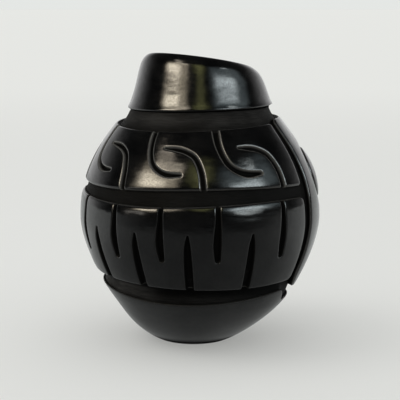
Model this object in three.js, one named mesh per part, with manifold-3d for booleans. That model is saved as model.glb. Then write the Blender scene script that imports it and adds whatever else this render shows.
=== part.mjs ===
// A carved, burnished black clay pot, hand built from a pressed base, four courses of coils and
// a collar, with raised fields carved on its outside. Millimetres, +Z up, front towards -Y.
// Angles round the pot are in degrees: 0 at the front, +90 on the +X side.
import * as THREE from 'three';
import { mergeVertices } from 'three/addons/utils/BufferGeometryUtils.js';
import Module from 'manifold-3d';

const wasm = await Module();
wasm.setup();

const { degToRad, radToDeg, euclideanModulo, lerp, smoothstep } = THREE.MathUtils;

// ---- Driving dimensions. Heights are above the foot. ----

// Burnished outline
const FOOT_RADIUS = 23.5;
const FOOT_HANDLE = [58, 15];
const BELLY_RADIUS = 79;
const BELLY_HEIGHT = 84;
const BELLY_HANDLES = [62, 119.5]; // heights of the curve's handles under and over the belly
const NECK_RADIUS = 50.8;
const NECK_HEIGHT = 150;
const NECK_HANDLE = [60, 135.3];
const FOOT_SHIFT = -4.2; // the bowl stands this far off the body's axis, along X
const FOOT_SHIFT_ENDS = 30;

// Clay thicknesses, measured level
const CARVE_DEPTH = 3; // the raised fields stand this far out of the ground
const BODY_THICKNESS = 8; // from the burnished outline to the hollow
const FLOOR_THICKNESS = 8;
const FLOOR_CORNER = 6; // the hollow's floor meets its side over this width
const GAP = 0.3; // between neighbouring pieces
const FIELD_GAP = 0.45; // between a raised field and the wall behind it

// Where the pieces meet
const BOWL_EDGE_DROP = 10; // the bowl's edge is this much lower under the side panel
const BOWL_EDGE_DROP_ANGLES = [24, 37]; // degrees from the panel's middle
const BOWL_EDGE_WIDTH = 1.5; // the bowl's rounded edge stands this far out of the wall's foot
const BELLY_SEAM = 64;
const SHOULDER_SEAM = 92;
const NECK_SEAM = 124;
const WALL_TOP = 153.4;

// Collar
const COLLAR_BOTTOM = 155.2;
const COLLAR_BOTTOM_RADIUS = 47.2;
const COLLAR_BOTTOM_BEVEL = 1;
const COLLAR_SEAT_WIDTH = 7.5;
const COLLAR_OUTSIDE = [[44.2, 162], [41.5, 170]]; // radius and height
const COLLAR_INSIDE = [[33, 168], [36.5, 160]];
const COLLAR_TOP_RADIUS = 37.6; // where the rounded lip starts
const LIP_RADIUS = 4; // half the clay's thickness at the rim
const RIM_HEIGHT = 184; // on the axis
const RIM_SLOPE_X = -0.13; // rise of the slanted rim per mm along X
const RIM_SLOPE_Y = -0.13;
const COLLAR_EDGE_SLOPE_X = 0.027;

// Side panel, centred on +X
const PANEL_ANGLE = 90;
const PANEL_HALF_ANGLE = 25.5;
const PANEL_TOP = 148.4;
const PANEL_BOTTOM = 35.8;
const PANEL_ROUNDING = 16; // the bottom's corners rise this far
const GROOVE_ANGLE = 6.5; // upright groove on each side of the panel
const BOSS_HEIGHT = 113;
const BOSS_HALF_WIDTH = 14.3;
const BOSS_HALF_HEIGHT = 16.3;
const BOSS_PROUD = 1.3;
const BOSS_SLIT = 3.4;

// Carved channels
const SLIT_WIDTH = 3.6;
const SLITS_DOWN_TO = 65;
const SLITS_UP_TO = 81;
const PAST_EDGE = 5; // a slit starts this far outside its field
const HOOK_WIDTH = 3.6;
const SLIT_SPACING = 25.3; // degrees, round the back
const HOOK_SPACING = 41; // degrees, round the back

// Facets
const RING_SEGMENTS = 48;
const FIELD_STEP = 7.5; // degrees
const PANEL_STEP = 4.25; // degrees, finer because its end is rounded
const ROWS = { shoulder: 5, belly: 6, panel: 16 };
const OVAL_SEGMENTS = 16;
const CHANNEL_END_STEPS = 3;
const LIP_STEPS = 6;
const CUT_REACH = 6; // channels are cut this far in and out of the outline
const SAME_POINT = 1e-4;
const HALVINGS = 30;

// ---- The pot's outline ----

const lowerOutline = new THREE.CubicBezierCurve(
  new THREE.Vector2(FOOT_RADIUS, 0),
  new THREE.Vector2(...FOOT_HANDLE),
  new THREE.Vector2(BELLY_RADIUS, BELLY_HANDLES[0]),
  new THREE.Vector2(BELLY_RADIUS, BELLY_HEIGHT),
);
const upperOutline = new THREE.CubicBezierCurve(
  new THREE.Vector2(BELLY_RADIUS, BELLY_HEIGHT),
  new THREE.Vector2(BELLY_RADIUS, BELLY_HANDLES[1]),
  new THREE.Vector2(...NECK_HANDLE),
  new THREE.Vector2(NECK_RADIUS, NECK_HEIGHT),
);

// Burnished radius at a height, found by halving the curve's parameter
function outerRadius(height) {
  const outline = height < BELLY_HEIGHT ? lowerOutline : upperOutline;
  let low = 0;
  let high = 1;
  for (let i = 0; i < HALVINGS; i++) {
    const middle = (low + high) / 2;
    if (outline.getPoint(middle).y < height) low = middle;
    else high = middle;
  }
  return outline.getPoint(low).x;
}

// Matte ground between the raised fields. It is level, except that it is cut back deeper just
// over the bowl and under the collar.
const GROUND_UNDERCUT = [61.9, 46]; // radius and height
const GROUND_LEVEL_FROM = 50;
const GROUND_LEVEL_TO = 142;
const GROUND_NECK = [49, 146];
const GROUND_TOP = [45, WALL_TOP];

function groundRadius(height) {
  if (height <= GROUND_LEVEL_TO) return outerRadius(height) - CARVE_DEPTH;
  const levelEnd = [outerRadius(GROUND_LEVEL_TO) - CARVE_DEPTH, GROUND_LEVEL_TO];
  const between = ([r0, z0], [r1, z1]) => lerp(r0, r1, (height - z0) / (z1 - z0));
  return height < GROUND_NECK[1] ? between(levelEnd, GROUND_NECK) : between(GROUND_NECK, GROUND_TOP);
}

const innerRadius = (height) => outerRadius(height) - BODY_THICKNESS;

function sideways(height) {
  return FOOT_SHIFT * (1 - smoothstep(height, 0, FOOT_SHIFT_ENDS));
}

function onPot(degrees, radius, height) {
  const angle = degToRad(degrees);
  return [radius * Math.sin(angle) + sideways(height), -radius * Math.cos(angle), height];
}

// ---- Shape helpers ----

function moveVertices(geometry, mapping) {
  const position = geometry.attributes.position;
  for (let i = 0; i < position.count; i++) {
    position.setXYZ(i, ...mapping(position.getX(i), position.getY(i), position.getZ(i)));
  }
  return geometry;
}

// A body turned round the Z axis. profile(degrees) gives its [radius, height] points, which
// close on themselves as a ring, or start and end on the axis.
function turned(profile) {
  const outline = profile(0).map(([radius, height]) => new THREE.Vector2(radius, height));
  const geometry = new THREE.LatheGeometry(outline, RING_SEGMENTS);
  const position = geometry.attributes.position;
  for (let i = 0; i < position.count; i++) {
    const degrees = (360 * Math.floor(i / outline.length)) / RING_SEGMENTS;
    position.setXYZ(i, ...onPot(degrees, ...profile(degrees)[i % outline.length]));
  }
  return geometry;
}

const closed = (points) => [...points, points[0]];
const along = (heights, radius) => heights.map((height) => [radius(height), height]);

// A curved plate on the pot: a box whose sides are bent to the given edges
function plate({ from, to, bottom, top, inner, outer, rows, step = FIELD_STEP }) {
  const columns = Math.ceil((to - from) / step);
  const box = new THREE.BoxGeometry(1, 1, 1, columns, rows, 1).translate(0.5, 0.5, 0.5);
  return moveVertices(box, (u, v, w) => {
    const degrees = lerp(from, to, u);
    const height = lerp(bottom(degrees), top(degrees), v);
    return onPot(degrees, lerp(inner(height), outer(height, degrees), w), height);
  });
}

// A prism through the pot's skin, from an outline in mm measured round the pot at the given
// reference radius, and up it
function skinPrism(outline, reference) {
  const shape = new THREE.Shape(outline);
  const prism = new THREE.ExtrudeGeometry(shape, { depth: 2 * CUT_REACH, bevelEnabled: false });
  return moveVertices(prism, (x, y, z) => {
    const degrees = radToDeg(x / reference);
    return onPot(degrees, outerRadius(Math.min(y, NECK_HEIGHT)) - CUT_REACH + z, y);
  });
}

// A channel with round ends along a smooth line through [degrees, height] points
function channel(points, width) {
  const steps = points.length > 2 ? points.length + 1 : 3;
  const reference = outerRadius((points[0][1] + points.at(-1)[1]) / 2);
  const line = new THREE.SplineCurve(
    points.map(([degrees, z]) => new THREE.Vector2(degToRad(degrees) * reference, z)),
  );
  const beside = (t, turn) => {
    const tangent = line.getTangent(t);
    const direction = tangent.rotateAround(new THREE.Vector2(), turn);
    return line.getPoint(t).addScaledVector(direction, width / 2);
  };
  const outline = [];
  for (let i = 0; i <= steps; i++) outline.push(beside(i / steps, -Math.PI / 2));
  for (let i = 1; i < CHANNEL_END_STEPS; i++) {
    outline.push(beside(1, -Math.PI / 2 + (i / CHANNEL_END_STEPS) * Math.PI));
  }
  for (let i = steps; i >= 0; i--) outline.push(beside(i / steps, Math.PI / 2));
  for (let i = 1; i < CHANNEL_END_STEPS; i++) {
    outline.push(beside(0, Math.PI / 2 + (i / CHANNEL_END_STEPS) * Math.PI));
  }
  return skinPrism(outline, reference);
}

function ovalPrism(halfWidth, halfHeight) {
  const reference = outerRadius(BOSS_HEIGHT);
  const centre = degToRad(PANEL_ANGLE) * reference;
  const oval = new THREE.EllipseCurve(centre, BOSS_HEIGHT, halfWidth, halfHeight);
  return skinPrism(oval.getPoints(OVAL_SEGMENTS), reference);
}

// ---- Joining and cutting ----

function toSolid(geometry) {
  const bare = geometry.clone();
  bare.deleteAttribute('normal');
  bare.deleteAttribute('uv');
  const merged = mergeVertices(bare, SAME_POINT);
  const corners = merged.index.array;
  const triangles = [];
  for (let i = 0; i < corners.length; i += 3) {
    const [a, b, c] = corners.slice(i, i + 3);
    if (a !== b && b !== c && c !== a) triangles.push(a, b, c);
  }
  return new wasm.Manifold(
    new wasm.Mesh({
      numProp: 3,
      vertProperties: new Float32Array(merged.attributes.position.array),
      triVerts: new Uint32Array(triangles),
    }),
  );
}

function toGeometry(solid) {
  const mesh = solid.getMesh();
  const geometry = new THREE.BufferGeometry();
  geometry.setAttribute('position', new THREE.BufferAttribute(mesh.vertProperties, 3));
  geometry.setIndex(new THREE.BufferAttribute(mesh.triVerts, 1));
  geometry.computeVertexNormals();
  return geometry;
}

function cut(geometry, cutters) {
  return toGeometry(cutters.reduce((left, each) => left.subtract(toSolid(each)), toSolid(geometry)));
}

// ---- Hand-cut edges, as heights at an angle: gentle waves round the pot ----

function handCut({ height, swing, cycles, phase }) {
  return (degrees) => height + swing * Math.cos(degToRad(cycles * (degrees - phase)));
}

const shoulderTop = handCut({ height: 144.9, swing: -1.6, cycles: 1.6, phase: -38 });
const shoulderBottom = handCut({ height: 108.7, swing: 1.2, cycles: 2.5, phase: 10 });
const bellyTop = handCut({ height: 100.2, swing: -1.2, cycles: 2.5, phase: -33 });
const bellyBottom = handCut({ height: 47.2, swing: -1.9, cycles: 1.5, phase: 22 });
const bowlRise = handCut({ height: 38.4, swing: -3, cycles: 2, phase: -12 });

function bowlEdge(degrees) {
  const away = Math.abs(euclideanModulo(degrees - PANEL_ANGLE + 180, 360) - 180);
  return bowlRise(degrees) - BOWL_EDGE_DROP * (1 - smoothstep(away, ...BOWL_EDGE_DROP_ANGLES));
}

function panelBottom(degrees) {
  const across = (degrees - PANEL_ANGLE) / PANEL_HALF_ANGLE;
  return PANEL_BOTTOM + PANEL_ROUNDING * (1 - Math.sqrt(Math.max(0, 1 - across ** 2)));
}

const FIELD_END = PANEL_ANGLE - PANEL_HALF_ANGLE - GROOVE_ANGLE;
const FIELD_START = PANEL_ANGLE + PANEL_HALF_ANGLE + GROOVE_ANGLE - 360;

const fieldBack = (height) => outerRadius(height) - CARVE_DEPTH + FIELD_GAP;

// ---- Carving ----

const topSlitAngles = [41.3, 8.2, -18, -42.5, -68.5];
const bottomSlitAngles = [24.3, -5.5, -30.7, -55.5];
while (topSlitAngles.at(-1) - SLIT_SPACING > FIELD_START + SLIT_SPACING / 2) {
  topSlitAngles.push(topSlitAngles.at(-1) - SLIT_SPACING);
  bottomSlitAngles.push(bottomSlitAngles.at(-1) - SLIT_SPACING);
}

function bellySlits() {
  const down = topSlitAngles.map((angle) => {
    return [[angle, bellyTop(angle) + PAST_EDGE], [angle, SLITS_DOWN_TO]];
  });
  const up = bottomSlitAngles.map((angle) => {
    return [[angle, bellyBottom(angle) - PAST_EDGE], [angle, SLITS_UP_TO]];
  });
  return [...down, ...up].map((points) => channel(points, SLIT_WIDTH));
}

// Hooks come in pairs: one hangs from the top edge, one grows out of the bottom edge
const HANGING_HOOK = [
  [0, 151], [0.2, 139], [1.6, 131.5], [4.6, 124.5], [9.2, 120.3], [14.3, 118.5], [20.5, 118.6],
];
const RISING_HOOK = [
  [0.2, 103], [0, 112], [-1.1, 121], [-4.2, 128.4], [-9.3, 131.9], [-14.8, 133.3], [-21.3, 133.8],
];
const hangingAngles = [10, -29.6, -73.5];
const risingAngles = [43.6, 1.6, -40.1];
for (let i = 0; i < 3; i++) hangingAngles.push(hangingAngles.at(-1) - HOOK_SPACING);
for (let i = 0; i < 4; i++) risingAngles.push(risingAngles.at(-1) - HOOK_SPACING);

function shoulderHooks() {
  const at = (hook, angle) => hook.map(([degrees, height]) => [degrees + angle, height]);
  return [
    ...hangingAngles.map((angle) => channel(at(HANGING_HOOK, angle), HOOK_WIDTH)),
    ...risingAngles.map((angle) => channel(at(RISING_HOOK, angle), HOOK_WIDTH)),
  ];
}

// ---- Pieces ----

function baseBowl() {
  return turned((degrees) => {
    const edge = bowlEdge(degrees);
    const sides = [0.06, 0.23, 0.49, 0.75, 1].map((share) => share * (edge - BOWL_EDGE_WIDTH));
    const hollow = [1, 0.75, 0.5, 0.36].map((share) => share * edge);
    return [
      [0, 0],
      [FOOT_RADIUS, 0],
      ...along(sides, outerRadius),
      [outerRadius(edge) - BOWL_EDGE_WIDTH, edge],
      ...along(hollow, innerRadius),
      [innerRadius(FLOOR_THICKNESS) - FLOOR_CORNER, FLOOR_THICKNESS],
      [0, FLOOR_THICKNESS],
    ];
  });
}

// The lowest course stands on the bowl's edge
function lowerWall() {
  return turned((degrees) => {
    const foot = bowlEdge(degrees) + GAP;
    const hollow = [1, 0.64, 0.32, 0].map((share) => lerp(foot, BELLY_SEAM, share));
    return closed([
      [outerRadius(foot) - BOWL_EDGE_WIDTH, foot],
      GROUND_UNDERCUT,
      ...along([GROUND_LEVEL_FROM, 57, BELLY_SEAM], groundRadius),
      ...along(hollow, innerRadius),
    ]);
  });
}

// A course of the coiled wall over it: the matte ground outside, the hollow inside
function course(groundHeights, hollowHeights) {
  const ring = closed([
    ...along(groundHeights, groundRadius),
    ...along(hollowHeights, innerRadius),
  ]);
  return turned(() => ring);
}

function bellyWall() {
  const foot = BELLY_SEAM + GAP;
  return course([foot, 73, 83, SHOULDER_SEAM], [SHOULDER_SEAM, 83, 73, foot]);
}

function shoulderWall() {
  const foot = SHOULDER_SEAM + GAP;
  return course([foot, 100, 108, 116, NECK_SEAM], [NECK_SEAM, 114, 103, foot]);
}

function neckWall() {
  const foot = NECK_SEAM + GAP;
  return course([foot, 133, 142, 146, WALL_TOP], [NECK_HEIGHT, 142, 133, foot]);
}

// The collar is turned upright, then its rim and its bottom edge are slanted by sliding each
// point up or down in proportion to its height
function neckCollar() {
  const lip = [];
  for (let i = 0; i <= LIP_STEPS; i++) {
    const turn = (i / LIP_STEPS) * Math.PI;
    lip.push([
      COLLAR_TOP_RADIUS - LIP_RADIUS + LIP_RADIUS * Math.cos(turn),
      RIM_HEIGHT - LIP_RADIUS + LIP_RADIUS * Math.sin(turn),
    ]);
  }
  const upright = closed([
    [COLLAR_BOTTOM_RADIUS - COLLAR_SEAT_WIDTH, WALL_TOP + GAP],
    [groundRadius(WALL_TOP), WALL_TOP + GAP],
    [COLLAR_BOTTOM_RADIUS - COLLAR_BOTTOM_BEVEL, COLLAR_BOTTOM],
    [COLLAR_BOTTOM_RADIUS, COLLAR_BOTTOM + COLLAR_BOTTOM_BEVEL],
    ...COLLAR_OUTSIDE,
    ...lip,
    ...COLLAR_INSIDE,
  ]);
  const collar = turned(() => upright);
  return moveVertices(collar, (x, y, z) => {
    const share = (z - COLLAR_BOTTOM) / (RIM_HEIGHT - COLLAR_BOTTOM);
    if (share < 0) return [x, y, z];
    const rimRise = RIM_SLOPE_X * x + RIM_SLOPE_Y * y;
    const edgeRise = COLLAR_EDGE_SLOPE_X * x;
    return [x, y, z + lerp(edgeRise, rimRise, share)];
  });
}

function shoulderBand() {
  const field = plate({
    from: FIELD_START,
    to: FIELD_END,
    bottom: shoulderBottom,
    top: shoulderTop,
    inner: fieldBack,
    outer: outerRadius,
    rows: ROWS.shoulder,
  });
  return cut(field, shoulderHooks());
}

function bellyBand() {
  const field = plate({
    from: FIELD_START,
    to: FIELD_END,
    bottom: bellyBottom,
    top: bellyTop,
    inner: fieldBack,
    outer: outerRadius,
    rows: ROWS.belly,
  });
  return cut(field, bellySlits());
}

function panelPlate(outer, bottom, top) {
  return plate({
    from: PANEL_ANGLE - PANEL_HALF_ANGLE,
    to: PANEL_ANGLE + PANEL_HALF_ANGLE,
    bottom,
    top,
    inner: fieldBack,
    outer,
    rows: ROWS.panel,
    step: PANEL_STEP,
  });
}

function sidePanel() {
  const hole = ovalPrism(BOSS_HALF_WIDTH + BOSS_SLIT, BOSS_HALF_HEIGHT + BOSS_SLIT);
  return cut(panelPlate(outerRadius, panelBottom, () => PANEL_TOP), [hole]);
}

// The boss swells from the panel's own surface at its edge to its proudest point in the middle
function sideBoss() {
  const reach = BOSS_HALF_HEIGHT + BOSS_SLIT;
  const swelling = (height, degrees) => {
    const round = (degToRad(degrees - PANEL_ANGLE) * outerRadius(height)) / BOSS_HALF_WIDTH;
    const up = (height - BOSS_HEIGHT) / BOSS_HALF_HEIGHT;
    return BOSS_PROUD * Math.max(0, 1 - round ** 2 - up ** 2);
  };
  const block = panelPlate(
    (height, degrees) => outerRadius(height) + swelling(height, degrees),
    () => BOSS_HEIGHT - reach,
    () => BOSS_HEIGHT + reach,
  );
  const oval = ovalPrism(BOSS_HALF_WIDTH, BOSS_HALF_HEIGHT);
  return toGeometry(toSolid(block).intersect(toSolid(oval)));
}

// ---- Assembly ----

const burnished = { color: 0x0d0e10, roughness: 0.18, metalness: 0 };
const matte = { color: 0x2a2825, roughness: 0.85, metalness: 0 };

const pieces = {
  base_bowl: [baseBowl, burnished],
  lower_wall: [lowerWall, matte],
  belly_wall: [bellyWall, matte],
  shoulder_wall: [shoulderWall, matte],
  neck_wall: [neckWall, matte],
  neck_collar: [neckCollar, burnished],
  shoulder_band: [shoulderBand, burnished],
  belly_band: [bellyBand, burnished],
  side_panel: [sidePanel, burnished],
  side_boss: [sideBoss, burnished],
};

const pot = new THREE.Group();
for (const [name, [make, finish]] of Object.entries(pieces)) {
  const mesh = new THREE.Mesh(make(), new THREE.MeshStandardMaterial(finish));
  mesh.name = name;
  pot.add(mesh);
}

export default pot;
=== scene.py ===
"""A carved, burnished black clay pot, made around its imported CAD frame.

Lengths are in millimetres until a mesh is made. Angles round the pot are 0 at the front (-Y)
and +90 at +X. Carved pieces are laid out on a flat sheet: x runs round the pot and y up it, at
the scale of the belly. The sheet is conformal, so a small shape keeps its form on the pot and
shrinks with the pot's radius.
"""
import math

import bpy
import numpy as np
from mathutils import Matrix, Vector, noise
from mathutils.geometry import delaunay_2d_cdt


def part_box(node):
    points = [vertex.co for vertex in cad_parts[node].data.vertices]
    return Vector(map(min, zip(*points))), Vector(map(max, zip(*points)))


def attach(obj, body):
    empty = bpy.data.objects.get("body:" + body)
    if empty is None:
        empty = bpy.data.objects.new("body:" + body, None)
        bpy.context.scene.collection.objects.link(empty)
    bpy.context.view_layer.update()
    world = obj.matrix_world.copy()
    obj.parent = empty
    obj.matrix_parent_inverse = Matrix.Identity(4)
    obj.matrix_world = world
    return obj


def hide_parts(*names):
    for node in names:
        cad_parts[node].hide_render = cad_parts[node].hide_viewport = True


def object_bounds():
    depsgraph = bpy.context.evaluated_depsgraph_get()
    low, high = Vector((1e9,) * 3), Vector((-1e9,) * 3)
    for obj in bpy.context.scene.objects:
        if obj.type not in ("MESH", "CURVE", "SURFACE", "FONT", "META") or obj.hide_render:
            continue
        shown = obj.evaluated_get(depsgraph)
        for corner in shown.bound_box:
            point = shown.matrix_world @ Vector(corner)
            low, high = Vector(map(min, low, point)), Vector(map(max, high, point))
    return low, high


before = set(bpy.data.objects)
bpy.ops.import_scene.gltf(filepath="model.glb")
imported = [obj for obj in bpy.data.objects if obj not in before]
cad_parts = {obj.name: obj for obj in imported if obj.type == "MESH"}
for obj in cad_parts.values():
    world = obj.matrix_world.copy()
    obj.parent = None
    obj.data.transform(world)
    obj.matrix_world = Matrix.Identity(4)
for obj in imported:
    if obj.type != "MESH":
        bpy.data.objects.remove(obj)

cad_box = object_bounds()
MM = 0.001


def height_of(node, corner):
    """The lowest (0) or highest (1) point of a CAD node, in mm."""
    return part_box(node)[corner].z / MM


# ---- Driving dimensions, mm ----

BELLY_RADIUS = (cad_box[1].x - cad_box[0].x) / 2 / MM
BELLY_HEIGHT = 84
FOOT_RADIUS = 23.5
NECK_RADIUS = 50.8
NECK_HEIGHT = 150
FOOT_SHIFT = -4.2
FOOT_SHIFT_ENDS = 30
BODY_THICKNESS = 8
FLOOR_THICKNESS = 8
GROUND_DEPTH = 3.1
FIELD_DEPTH = 3.7
COURSE_TOPS = [height_of(name, 1) for name in ("lower_wall", "belly_wall", "shoulder_wall")]
WALL_TOP = height_of("neck_wall", 1)


# ---- The pot's outline and the flat sheet ----


def bezier(a, b, c, d, count=600):
    t = np.linspace(0, 1, count)[:, None]
    a, b, c, d = (np.array(p, float) for p in (a, b, c, d))
    return (1 - t) ** 3 * a + 3 * (1 - t) ** 2 * t * b + 3 * (1 - t) * t**2 * c + t**3 * d


widest = (BELLY_RADIUS, BELLY_HEIGHT)
outline = np.vstack([
    bezier((FOOT_RADIUS, 0), (58, 15), (BELLY_RADIUS, 62), widest),
    bezier(widest, (BELLY_RADIUS, 119.5), (60, 135.3), (NECK_RADIUS, NECK_HEIGHT))[1:],
])
OUTLINE_R, OUTLINE_Z = outline.T
steps = np.hypot(np.diff(OUTLINE_R), np.diff(OUTLINE_Z))
middle_radii = (OUTLINE_R[1:] + OUTLINE_R[:-1]) / 2
OUTLINE_Y = np.concatenate([[0], np.cumsum(steps / middle_radii)]) * BELLY_RADIUS
TANGENT = np.gradient(outline, OUTLINE_Y, axis=0)
TANGENT /= np.linalg.norm(TANGENT, axis=1)[:, None]


def radius_at(z):
    return np.interp(z, OUTLINE_Z, OUTLINE_R)


def sheet_y(z):
    return np.interp(z, OUTLINE_Z, OUTLINE_Y)


def sheet_scale(y):
    """Real millimetres for each millimetre of the sheet."""
    return np.interp(y, OUTLINE_Y, OUTLINE_R) / BELLY_RADIUS


def sheet_x(degrees):
    return np.radians(degrees) * BELLY_RADIUS


def sideways(z):
    """The bowl stands a little off the body's axis."""
    t = np.clip(z / FOOT_SHIFT_ENDS, 0, 1)
    return FOOT_SHIFT * (1 - t * t * (3 - 2 * t))


def turned_point(angle, radius, z):
    x = radius * np.sin(angle) + sideways(z)
    return np.stack([x, -radius * np.cos(angle), z + 0 * angle], axis=-1)


def on_pot(x, y, height):
    """Points of the sheet, raised along the outline's own normal."""
    z = np.interp(y, OUTLINE_Y, OUTLINE_Z)
    radius = np.interp(y, OUTLINE_Y, OUTLINE_R)
    slope_r = np.interp(y, OUTLINE_Y, TANGENT[:, 0])
    slope_z = np.interp(y, OUTLINE_Y, TANGENT[:, 1])
    return turned_point(x / BELLY_RADIUS, radius + slope_z * height, z - slope_r * height)


def waver(points, size, amount, seed=0.0):
    """Smooth unevenness of a hand-made surface, one number for each point."""
    shift = Vector((seed, 2 * seed, 3 * seed))
    return np.array([amount * noise.noise(Vector(p) / size + shift) for p in points])


# ---- Meshes ----


def make_piece(name, vertices, faces, flat, attributes, material, nodes):
    mesh = bpy.data.meshes.new(name)
    mesh.from_pydata([tuple(v) for v in np.asarray(vertices) * MM], [], faces)
    mesh.polygons.foreach_set("use_smooth", [not f for f in flat])
    for key, values in attributes.items():
        layer = mesh.attributes.new(key, "FLOAT", "POINT")
        layer.data.foreach_set("value", np.asarray(values, np.float32))
    mesh.materials.append(material)
    mesh.update()
    piece = bpy.data.objects.new(name, mesh)
    bpy.context.scene.collection.objects.link(piece)
    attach(piece, "root")
    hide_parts(*nodes)
    return piece


COLUMNS = 288
COLUMN_ANGLES = np.linspace(0, 2 * np.pi, COLUMNS, endpoint=False)


def turned_piece(name, rows, flat_rows, closes, material, nodes):
    """A body turned round the axis. Each row is (radius, z, carved) and perhaps a pale rim, a
    painted highlight, where the radius and z are numbers or one for each column. It closes on
    itself as a ring, or its first and last rows are single points on the axis.
    """
    vertices, starts = [], []
    for radius, z, carved, *rim in rows:
        starts.append(len(vertices))
        angles = COLUMN_ANGLES[:1] if np.max(radius) == 0 else COLUMN_ANGLES
        shape = angles.shape
        ring = turned_point(angles, np.broadcast_to(radius, shape), np.broadcast_to(z, shape))
        vertices.extend((p, carved, sum(rim)) for p in ring)
    faces, flat = [], []
    pairs = [(i, i + 1) for i in range(len(rows) - 1)] + ([(len(rows) - 1, 0)] if closes else [])
    for low, high in pairs:
        a, b = starts[low], starts[high]
        single_a = np.max(rows[low][0]) == 0
        single_b = np.max(rows[high][0]) == 0
        for i in range(COLUMNS):
            j = (i + 1) % COLUMNS
            if single_a:
                face = (a, b + j, b + i)
            elif single_b:
                face = (a + i, a + j, b)
            else:
                face = (a + i, a + j, b + j, b + i)
            faces.append(face)
            flat.append(low in flat_rows)
    points, carved, rim = zip(*vertices)
    attributes = {"carved": carved, "rim": rim}
    return make_piece(name, points, faces, flat, attributes, material, nodes)


# ---- Materials ----


class Nodes:
    """A short way to write a node tree."""

    def __init__(self, tree):
        self.tree = tree

    def add(self, kind, inputs=None, **settings):
        node = self.tree.nodes.new(kind)
        for key, value in settings.items():
            setattr(node, key, value)
        for key, value in (inputs or {}).items():
            self.set(node.inputs[key], value)
        return node

    def set(self, socket, value):
        if isinstance(value, bpy.types.NodeSocket):
            self.tree.links.new(value, socket)
        else:
            socket.default_value = value

    def noise(self, scale, detail=2.0, roughness=0.5):
        """Noise over the pot, with its scale along X, Y and Z in lumps per metre."""
        place = self.add("ShaderNodeTexCoord").outputs["Object"]
        mapping = self.add("ShaderNodeMapping", {"Vector": place, "Scale": scale})
        inputs = {"Vector": mapping.outputs["Vector"], "Scale": 1.0}
        inputs.update({"Detail": detail, "Roughness": roughness})
        return self.add("ShaderNodeTexNoise", inputs).outputs["Fac"]

    def ramp(self, value, low, high, to_low=0.0, to_high=1.0):
        inputs = {"Value": value, "From Min": low, "From Max": high}
        inputs.update({"To Min": to_low, "To Max": to_high})
        node = self.add("ShaderNodeMapRange", inputs, interpolation_type="SMOOTHSTEP")
        return node.outputs["Result"]

    def mix(self, share, a, b):
        node = self.add("ShaderNodeMix", data_type="RGBA")
        self.set(node.inputs["Factor"], share)
        self.set(node.inputs["A"], a)
        self.set(node.inputs["B"], b)
        return node.outputs["Result"]

    def blend(self, share, a, b):
        node = self.add("ShaderNodeMix", data_type="FLOAT")
        self.set(node.inputs["Factor"], share)
        self.set(node.inputs["A"], a)
        self.set(node.inputs["B"], b)
        return node.outputs["Result"]

    def math(self, operation, a, b):
        node = self.add("ShaderNodeMath", operation=operation)
        self.set(node.inputs[0], a)
        self.set(node.inputs[1], b)
        return node.outputs["Value"]

    def bump(self, height, distance, normal=None):
        inputs = {"Height": height, "Distance": distance, "Strength": 1.0}
        if normal is not None:
            inputs["Normal"] = normal
        return self.add("ShaderNodeBump", inputs).outputs["Normal"]


def new_material(name):
    material = bpy.data.materials.new(name)
    material.use_nodes = True
    return material, Nodes(material.node_tree), material.node_tree.nodes["Principled BSDF"]


BLACK = (0.0025, 0.0026, 0.0028, 1)
SMOKE = (0.005, 0.005, 0.005, 1)
CUT = (0.0022, 0.0021, 0.0020, 1)
# Pale rim colour: partly paler scraped clay at carved edges, partly a painted highlight where rounded
# edges catch the light
RIM_SCRAPE_AND_GLINT = (0.16, 0.155, 0.145, 1)
GROUND_DARK = (0.0025, 0.0024, 0.0023, 1)
GROUND_PALE = (0.0072, 0.0069, 0.0066, 1)


def burnished_clay():
    """Black clay rubbed to a gloss with a stone, and scraped matte where it is carved."""
    material, n, shader = new_material("burnished_clay")
    carved = n.add("ShaderNodeAttribute", attribute_name="carved").outputs["Fac"]
    rim = n.add("ShaderNodeAttribute", attribute_name="rim").outputs["Fac"]
    smoke = n.noise((60, 60, 90), 4)
    strokes = n.noise((90, 90, 1400), 3, 0.6)
    grain = n.noise((2600, 2600, 2600), 2)
    scratches = n.noise((500, 500, 9000), 2, 0.7)
    worn = n.ramp(n.math("ADD", carved, n.math("MULTIPLY", grain, 0.25)), 0.42, 0.72)
    polish = n.mix(n.ramp(smoke, 0.35, 0.7), BLACK, SMOKE)
    # The pale rims: partly scraped clay, partly a painted highlight along rounded edges
    scraped = n.math("MULTIPLY", rim, n.ramp(grain, 0.3, 0.6, 0.4, 1.0))
    n.set(shader.inputs["Base Color"], n.mix(scraped, n.mix(worn, polish, CUT), RIM_SCRAPE_AND_GLINT))
    gloss = n.ramp(strokes, 0.3, 0.75, 0.08, 0.16)
    gloss = n.math("ADD", gloss, n.ramp(smoke, 0.4, 0.75, 0.0, 0.05))
    n.set(shader.inputs["Roughness"], n.blend(worn, gloss, n.ramp(rim, 0.1, 0.8, 0.6, 0.36)))
    shader.inputs["IOR"].default_value = 1.8
    pits = n.ramp(n.noise((1500, 1500, 1500), 3), 0.38, 0.6, 0.36, 0.54)
    n.set(shader.inputs["Specular IOR Level"], n.blend(n.ramp(worn, 0.3, 0.9), pits, 0.02))
    lumps = n.noise((55, 55, 110), 2)
    normal = n.bump(lumps, 0.0003)
    normal = n.bump(strokes, 0.00001, normal)
    normal = n.bump(scratches, 0.000006, normal)
    roughened = n.math("MULTIPLY", grain, worn)
    n.set(shader.inputs["Normal"], n.bump(roughened, 0.00012, normal))
    return material


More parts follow.
